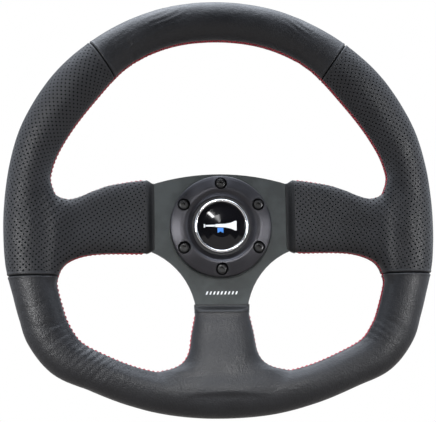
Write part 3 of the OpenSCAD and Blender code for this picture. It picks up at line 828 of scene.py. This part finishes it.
steps_ = np.concatenate([[0.0, 0.015, 0.04, 0.08], np.linspace(0.12, 0.9, 22), [0.94, 0.97, 0.99, 1.0]])
low, high, back, front = [float(v) for v in side_at(HEM_X)]
wide = float(bottom_at(-HEM_Y)[0])
mid_thin = (PLATE_Z + PLATE_TOP) / 2 - RIM_Z
for name, sx in (("hem_right", 1), ("hem_left", -1), ("hem_bottom", 0)):
    rings = []
    for k in steps_:
        e = float(hem_profile(k))
        lip = -0.9 * math.exp(-(k / 0.03) ** 2) + 0.35 * math.exp(-((k - 0.09) / 0.06) ** 2) \
            - 0.5 * math.exp(-((1 - k) / 0.02) ** 2)
        b = (front - back) / 2 * (1 - e) + (PLATE_TOP - PLATE_Z + 1.5) / 2 * e + lip
        cz = ((front + back) / 2) * (1 - e) + mid_thin * e + RIM_Z
        if sx:
            lo2, hi2 = low + 2 * e, high - 2.6 * e
            ring = section((lo2 + hi2) / 2, cz, (hi2 - lo2) / 2 + lip * 0.5, b, POWER + 2.5 * e, 0)
            ring[:, 0] = sx * (HEM_X + 0.2 - (HEM_X - HEM_IN + 0.2) * k)
        else:
            ring = section(0, cz, wide + 0.3 * e + lip * 0.5, b, POWER + 2.5 * e, 1)
            ring[:, 1] = HEM_Y - 0.2 + (HEM_TOP - HEM_Y + 0.2) * k
        rings.append(ring)
    o = loft("folded_" + name, rings)
    o.data.materials.append(hem_leather)
    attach(o, "wheel")
    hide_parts(name)


# -------------------------------------------------------------------- springs

def coil(name, r, wire, low, high, turns, node, body, mat):
    """A wire spring between two heights."""
    n = int(turns * 28)
    k = np.linspace(0, 1, n + 1)
    closed = 0.75 / turns       # ends lie flat for three quarters of a turn
    rise = np.clip((k - closed) / (1 - 2 * closed), 0, 1)
    z = low + wire + (high - low - 2 * wire) * rise
    z = z + np.minimum(k / closed, 1) * wire * 0.6 - np.minimum((1 - k) / closed, 1) * wire * 0.6
    a = 2 * math.pi * turns * k
    path = np.stack([r * np.cos(a), r * np.sin(a), z], 1)
    o = loft(name, tube(path, wire, 12))
    o.data.materials.append(mat)
    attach(o, body)
    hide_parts(node)
    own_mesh(o)


steel_wire = metal("spring_mat", (0.50, 0.51, 0.53), (0.22, 0.34), brushed=True)
z0, z1 = z_span("sleeve_spring")
coil("coil_sleeve", 30.2, 0.72, z0, z1, 3.6, "sleeve_spring", "wheel", steel_wire)
z0, z1 = z_span("horn_spring")
coil("coil_horn", 12.0, 0.45, z0, z1, 2.6, "horn_spring", "wheel", steel_wire)


# ---------------------------------------------------------- small printed marks

dome_hi = z_span("horn_dome")[1]
DOME_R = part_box("horn_dome")[1].x / MM
RISE = 2.0          # of the dome over its edge
BALL = (DOME_R ** 2 + RISE ** 2) / (2 * RISE)


def decal(name, outlines, height_at, body, mat, lift=0.05):
    """Thin raised print: each outline is a closed polygon in the wheel's plane."""
    bm = bmesh.new()
    for ring in outlines:
        vs = [bm.verts.new((x, y, 0)) for x, y in ring]
        bm.faces.new(vs)
    bmesh.ops.triangulate(bm, faces=bm.faces[:])
    for _ in range(2):
        bmesh.ops.subdivide_edges(bm, edges=bm.edges[:], cuts=1, use_grid_fill=True)
    me = bpy.data.meshes.new(name)
    bm.to_mesh(me)
    bm.free()
    co = np.array([v.co for v in me.vertices])
    co[:, 2] = height_at(co[:, 0], co[:, 1]) + lift
    me.vertices.foreach_set("co", row(co).ravel())
    o = link(name, me)
    fix_normals(o)
    o.data.materials.append(mat)
    sol = o.modifiers.new("print", "SOLIDIFY")
    sol.thickness, sol.offset = 0.04 * MM, 0
    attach(o, body)


print_white = moulded("print_white_mat", (0.74, 0.76, 0.78), (0.35, 0.45))
print_blue = moulded("print_blue_mat", (0.03, 0.20, 0.62), (0.35, 0.45))
# A bugle with a small pennant, as on any horn button.
BUGLE = [
    [(-5.2, 1.1), (3.2, 1.5), (7.6, 2.4), (11.0, 3.9), (12.3, 3.9), (12.3, -3.9), (11.0, -3.9),
     (7.6, -2.4), (3.2, -1.5), (-5.2, -1.1)],
    [(-13.0, 0.6), (-5.5, 0.8), (-5.5, -0.8), (-13.0, -0.6)],
    [(-14.4, 1.5), (-13.3, 1.4), (-13.3, -1.4), (-14.4, -1.5)],
]
PENNANT = [[(-3.4, -1.7), (1.4, -1.9), (1.4, -6.0), (-1.0, -4.7), (-3.4, -6.0)]]
# A row of nine thin slanted bars on the lower plate.
BARS = [[(x - 1.1, -55.1), (x + 0.1, -55.1), (x + 1.1, -52.6), (x - 0.1, -52.6)]
        for x in np.arange(-4, 5) * 3.0]
dome_height = lambda x, y: dome_hi - BALL + np.sqrt(BALL ** 2 - x * x - y * y)
decal("horn_mark", BUGLE, dome_height, "horn_button", print_white)
decal("horn_mark_pennant", PENNANT, dome_height, "horn_button", print_blue)
decal("plate_mark", BARS, lambda x, y: PLATE_TOP + 0 * x, "wheel", print_white)


# --------------------------------------------------- materials of the CAD parts

FINISH = {
    "plate_anodised": metal("plate_mat", (0.008, 0.0125, 0.0125), (0.52, 0.62), 0.1, speck=0.2, wear=0.05),
    "ring_anodised": metal("ring_mat", (0.034, 0.0335, 0.038), (0.30, 0.38), 0.8, turned=True, wear=0.1),
    "hub_anodised": metal("hub_mat", (0.022, 0.023, 0.026), (0.32, 0.44), 0.8, turned=True, wear=0.25),
    "sleeve_anodised": metal("sleeve_mat", (0.52, 0.53, 0.55), (0.24, 0.34), 1.0, turned=True),
    "spigot_steel": metal("spigot_mat", (0.48, 0.49, 0.50), (0.22, 0.34), 1.0, turned=True),
    "steel_core": metal("core_mat", (0.40, 0.41, 0.42), (0.35, 0.5), 1.0, brushed=True),
    "screw_black": metal("screw_mat", (0.005, 0.005, 0.0055), (0.26, 0.36), 0.2, speck=0.2, wear=0.15),
    "plastic_black": moulded("plastic_mat", (0.016, 0.016, 0.017), (0.42, 0.55)),
    "dome_black": moulded("dome_mat", (0.004, 0.004, 0.005), (0.05, 0.08), 0.000002, 200,
                          Specular_IOR_Level=0.35),
    "bezel_chrome": metal("bezel_mat", (0.80, 0.81, 0.83), (0.07, 0.13), 1.0, turned=True),
    "brass_contact": metal("brass_mat", (0.72, 0.52, 0.22), (0.20, 0.32), 1.0, turned=True),
    "ball_steel": metal("ball_mat", (0.74, 0.75, 0.77), (0.05, 0.10), 1.0),
    "seal_rubber": moulded("seal_mat", (0.020, 0.020, 0.020), (0.65, 0.8), 0.0001, 900),
    "insulator": moulded("insulator_mat", (0.62, 0.59, 0.50), (0.40, 0.52)),
    "wire_insulation": moulded("wire_mat", (0.045, 0.045, 0.045), (0.4, 0.5)),
    "spring_steel": steel_wire,
    "foam": foam.data.materials[0],
    "leather_smooth": smooth_leather,
    "leather_perforated": holed_leather,
    "leather_hem": hem_leather,
    "thread_red": thread_mat,
}
slot_of = {s["node"]: s["material_slot"] for s in frame["record"]["subparts"]}
for name, o in nodes.items():
    mat = FINISH[slot_of[name]]
    if not o.data.materials:
        o.data.materials.append(mat)
    for k in range(len(o.data.materials)):
        o.data.materials[k] = mat


# --------------------------------------------------- floor, lights and camera

def staged(name, verts, faces, mat):
    me = bpy.data.meshes.new(name)
    me.from_pydata(verts, [], faces)
    o = link(name, me)
    o.data.materials.append(mat)
    return o


floor_mat = bpy.data.materials.new("floor_mat")
floor_mat.use_nodes = True
fb = floor_mat.node_tree.nodes["Principled BSDF"]
fb.inputs["Base Color"].default_value = (0.23, 0.205, 0.18, 1)
fb.inputs["Roughness"].default_value = 0.9
FLOOR = cad_lo.z - 0.16
staged("floor", [(-6, -6, FLOOR), (6, -6, FLOOR), (6, 6, FLOOR), (-6, 6, FLOOR)], [(0, 1, 2, 3)], floor_mat)

# How bright the room is in each direction, as the wheel's surfaces see it. To the
# camera it is plain white.
SKY = {"base": 0.02, "behind": 0.8, "above": 8.0, "below": 0.3, "beside": 2.2}
world = bpy.data.worlds.new("studio")
scene.world = world
world.use_nodes = True
wt = world.node_tree
sky = wt.nodes.new("ShaderNodeTexCoord").outputs["Generated"]
parts = wt.nodes.new("ShaderNodeSeparateXYZ")
wt.links.new(sky, parts.inputs[0])
dx, dy, dz = parts.outputs
level = maths(wt, "ADD", ramp(wt, dy, 0.0, 0.5, 0.0, SKY["behind"]), SKY["base"])
level = maths(wt, "ADD", level, ramp(wt, dz, 0.68, 0.96, 0.0, SKY["above"]))
level = maths(wt, "ADD", level, ramp(wt, dz, -0.05, -0.5, 0.0, SKY["below"]))
level = maths(wt, "ADD", level, ramp(wt, maths(wt, "ABSOLUTE", dx), 0.62, 0.92, 0.0, SKY["beside"]))
seen = wt.nodes.new("ShaderNodeLightPath").outputs["Is Camera Ray"]
bg = wt.nodes["Background"]
wt.links.new(mix(wt, seen, (0.90, 0.96, 1.06), (1, 1, 1)), bg.inputs["Color"])
wt.links.new(maths(wt, "MAXIMUM", level, seen), bg.inputs["Strength"])


def area(name, at, to, size, power, size_y=None, spread=180):
    d = bpy.data.lights.new(name, "AREA")
    d.energy, d.size = power, size
    d.spread = math.radians(spread)
    if size_y:
        d.shape, d.size_y = "RECTANGLE", size_y
    o = bpy.data.objects.new(name, d)
    scene.collection.objects.link(o)
    o.location = at
    o.rotation_mode = "QUATERNION"
    o.rotation_quaternion = (Vector(to) - Vector(at)).to_track_quat("-Z", "Y")
    return o


area("low_front", (-0.02, -0.85, 0.22), (0, -0.06, -0.105), 0.15, 0.062, spread=17)
area("right", (0.66, -0.95, 0.08), (0.131, -0.06, 0), 0.15, 0.11, 0.3, spread=13)
area("left", (-0.62, -0.95, 0.08), (-0.131, -0.06, 0), 0.15, 0.14, 0.3, spread=13)

cam_data = bpy.data.cameras.new("camera")
cam = bpy.data.objects.new("camera", cam_data)
scene.collection.objects.link(cam)
scene.camera = cam
cam_data.sensor_width = 36.0
cam_data.lens = 101.5
cam_data.clip_start, cam_data.clip_end = 0.05, 20
azimuth, elevation, roll = math.radians(-5.222), math.radians(-8.836), math.radians(-0.96)
back = Vector((math.sin(azimuth) * math.cos(elevation),
               -math.cos(azimuth) * math.cos(elevation), math.sin(elevation)))
right = Vector((math.cos(azimuth), math.sin(azimuth), 0))
up = back.cross(right)
r_ = right * math.cos(roll) + up * math.sin(roll)
u_dir = up * math.cos(roll) - right * math.sin(roll)
cam.matrix_world = Matrix.Translation((-0.09235, -1.04702, -0.14111)) @ \
    Matrix((r_, u_dir, back)).transposed().to_4x4()
bpy.context.view_layer.update()
